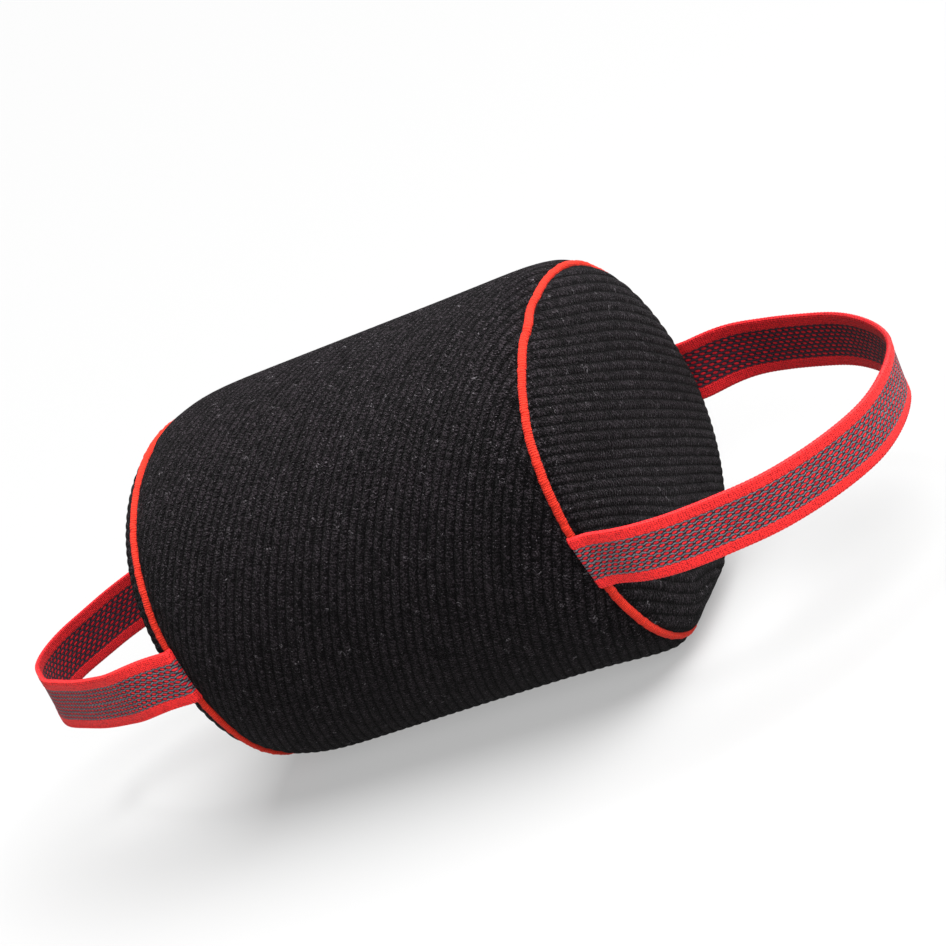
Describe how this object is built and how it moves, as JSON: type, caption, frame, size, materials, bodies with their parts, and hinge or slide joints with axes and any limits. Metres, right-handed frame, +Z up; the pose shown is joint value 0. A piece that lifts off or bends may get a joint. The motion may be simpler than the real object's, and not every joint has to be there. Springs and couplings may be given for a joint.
{
  "type": "training bumper",
  "caption": "Short fat stuffed fabric roll with domed end panels, red piping at both end seams and a webbing loop handle at each end.",
  "frame": {"origin": "middle of the pressed-flat patch that the bumper rests on", "axes": "+X along the bumper towards the end with the rounder handle, +Y across it through the places where the handles are sewn in, +Z up"},
  "size_m": [0.3445, 0.1252, 0.1236],
  "materials": {
    "cover_fabric": "coarse ribbed cotton and nylon, matt, with fine pale flecks",
    "piping_tape": "woven bias tape, bright red",
    "piping_cord": "twisted cotton filler cord",
    "thread": "bonded polyester thread, slight sheen",
    "lining": "plain lining cloth",
    "stuffing": "packed textile fibre",
    "webbing": "woven webbing, red edge bands and a grey and red mottled middle"
  },
  "bodies": {
    "stuffed_body": {"main_cover": "cover_fabric", "end_panel_right": "cover_fabric", "end_panel_left": "cover_fabric", "piping_cover_right": "piping_tape", "piping_cover_left": "piping_tape", "piping_cord_right": "piping_cord", "piping_cord_left": "piping_cord", "seam_thread_right": "thread", "seam_thread_left": "thread", "closing_seam_thread": "thread", "bar_tack_right_front": "thread", "bar_tack_right_back": "thread", "bar_tack_left_front": "thread", "bar_tack_left_back": "thread", "lining_tube": "lining", "lining_end_right": "lining", "lining_end_left": "lining", "stuffing_core": "stuffing", "handle_tail_right_front": "webbing", "handle_tail_right_back": "webbing", "handle_tail_left_front": "webbing", "handle_tail_left_back": "webbing"},
    "right_loop": {"handle_right": "webbing"},
    "left_loop": {"handle_left": "webbing"}
  },
  "joints": [
    {"name": "handle_right_swing", "type": "hinge", "parent": "stuffed_body", "child": "right_loop", "pos_m": [0.0925, 0, 0.0541], "axis": [0, -1, 0], "range_deg": [-30, 45]},
    {"name": "handle_left_swing", "type": "hinge", "parent": "stuffed_body", "child": "left_loop", "pos_m": [-0.0925, 0, 0.061], "axis": [0, 1, 0], "range_deg": [-25, 45]}
  ]
}
